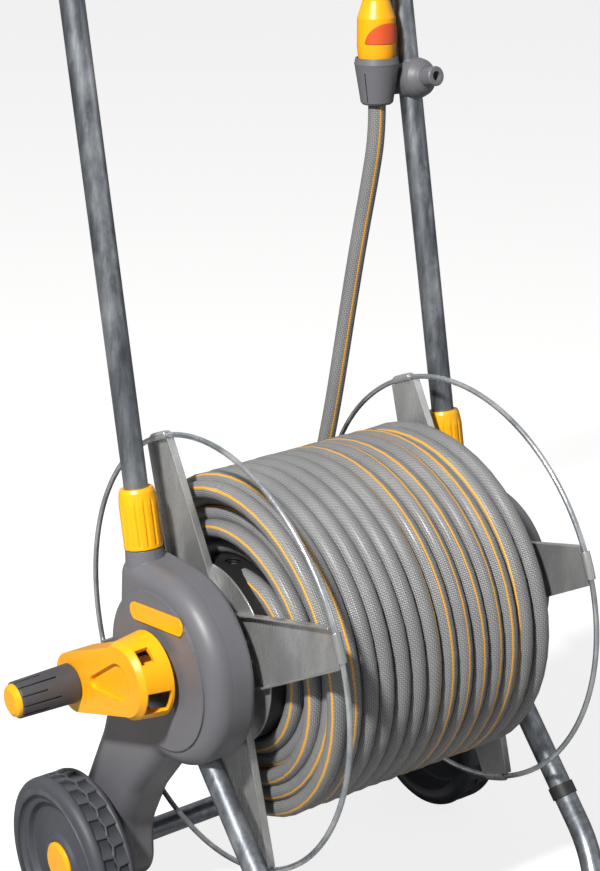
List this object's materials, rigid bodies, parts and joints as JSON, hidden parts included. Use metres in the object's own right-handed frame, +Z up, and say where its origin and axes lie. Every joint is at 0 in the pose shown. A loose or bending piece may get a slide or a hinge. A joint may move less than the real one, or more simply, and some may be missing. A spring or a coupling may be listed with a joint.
{
  "type": "garden hose reel cart",
  "caption": "Two-wheeled garden hose cart: a crank-driven wire drum of braided hose between moulded hubs on a tubular steel frame with a tall handle and nozzle holder.",
  "frame": {"origin": "on the ground under the middle of the cart's outline without its hose", "axes": "+X along the drum axis away from the crank, +Y to the rear where the wheels are, +Z up"},
  "size_m": [0.548, 0.4624, 0.9902],
  "materials": {
    "hub_grey": "satin moulded polypropylene",
    "amber": "satin moulded plastic",
    "galvanised": "streaky galvanised tube",
    "pressed_steel": "zinc plated sheet",
    "ring_wire": "bright zinc wire",
    "screw_steel": "zinc plated",
    "wheel_grey": "moulded plastic",
    "black_plastic": "moulded plastic",
    "bush_white": "nylon",
    "hose_grey": "braided hose with an amber line",
    "grip_grey": "soft ribbed grip",
    "seal": "seal",
    "label_plain": "bare plate"
  },
  "bodies": {
    "frame": {"hub_outer_left": "hub_grey", "hub_inner_left": "hub_grey", "hub_outer_right": "hub_grey", "hub_inner_right": "hub_grey", "hub_screws_left": "screw_steel", "hub_screws_right": "screw_steel", "badge_left": "amber", "badge_right": "amber", "drum_bush_left": "bush_white", "drum_bush_right": "bush_white", "leg_left": "galvanised", "leg_right": "galvanised", "foot_tube": "galvanised", "leg_ferrules": "black_plastic", "axle_rod": "galvanised", "axle_clips": "screw_steel", "inlet_elbow": "hub_grey", "inlet_nipple": "hub_grey", "shaft_seals": "seal"},
    "drum": {"core_tube": "black_plastic", "core_disc_left": "pressed_steel", "core_disc_right": "pressed_steel", "spoke_rivets": "screw_steel", "shaft_left": "black_plastic", "shaft_right": "black_plastic", "outlet_elbow": "black_plastic", "ring_left": "ring_wire", "ring_right": "ring_wire", "spoke_left_1": "pressed_steel", "spoke_left_2": "pressed_steel", "spoke_left_3": "pressed_steel", "spoke_left_4": "pressed_steel", "spoke_right_1": "pressed_steel", "spoke_right_2": "pressed_steel", "spoke_right_3": "pressed_steel", "spoke_right_4": "pressed_steel", "crank_arm": "amber", "crank_pin": "screw_steel", "grip_spindle": "screw_steel", "hose_coil": "hose_grey"},
    "crank_grip": {"grip_sleeve": "grip_grey", "grip_cap": "amber"},
    "wheel_left": {"wheel_left": "wheel_grey", "wheel_cap_left": "amber"},
    "wheel_right": {"wheel_right": "wheel_grey", "wheel_cap_right": "amber"},
    "collar_left": {"collar_left": "amber"},
    "collar_right": {"collar_right": "amber"},
    "handle": {"handle_tube": "galvanised", "handle_grip": "grip_grey", "nozzle_holder": "hub_grey", "holder_clamp": "hub_grey", "clamp_screws": "screw_steel", "hose_connector": "hub_grey", "hose_tail": "hose_grey"},
    "nozzle": {"nozzle_body": "amber", "nozzle_label": "label_plain"},
    "nozzle_tip": {"nozzle_tip": "hub_grey"}
  },
  "joints": [
    {"name": "drum_spin", "type": "hinge", "parent": "frame", "child": "drum", "pos_m": [0.027, 0.02875, 0.322], "axis": [1, 0, 0], "continuous": true},
    {"name": "crank_grip_spin", "type": "hinge", "parent": "drum", "child": "crank_grip", "pos_m": [0.027, 0.1134, 0.2878], "axis": [1, 0, 0], "continuous": true},
    {"name": "wheel_left_spin", "type": "hinge", "parent": "frame", "child": "wheel_left", "pos_m": [-0.199, 0.14575, 0.0845], "axis": [1, 0, 0], "continuous": true},
    {"name": "wheel_right_spin", "type": "hinge", "parent": "frame", "child": "wheel_right", "pos_m": [0.253, 0.14575, 0.0845], "axis": [1, 0, 0], "continuous": true},
    {"name": "collar_left_twist", "type": "hinge", "parent": "frame", "child": "collar_left", "pos_m": [-0.151, 0.06075, 0.322], "axis": [0, 0.1874, 0.9823], "range_deg": [0, 90]},
    {"name": "collar_right_twist", "type": "hinge", "parent": "frame", "child": "collar_right", "pos_m": [0.205, 0.06075, 0.322], "axis": [0, 0.1874, 0.9823], "range_deg": [0, 90]},
    {"name": "handle_slide", "type": "slide", "parent": "frame", "child": "handle", "axis": [0, 0.1874, 0.9823], "range_m": [-0.1, 0], "deforming": ["hose_tail"]},
    {"name": "nozzle_lift", "type": "slide", "parent": "handle", "child": "nozzle", "axis": [0, 0.0349, 0.9994], "range_m": [0, 0.035]},
    {"name": "nozzle_tip_twist", "type": "hinge", "parent": "nozzle", "child": "nozzle_tip", "pos_m": [0.1677, 0.1527, 0.78802], "axis": [0, 0.0349, 0.9994], "range_deg": [0, 120]}
  ]
}
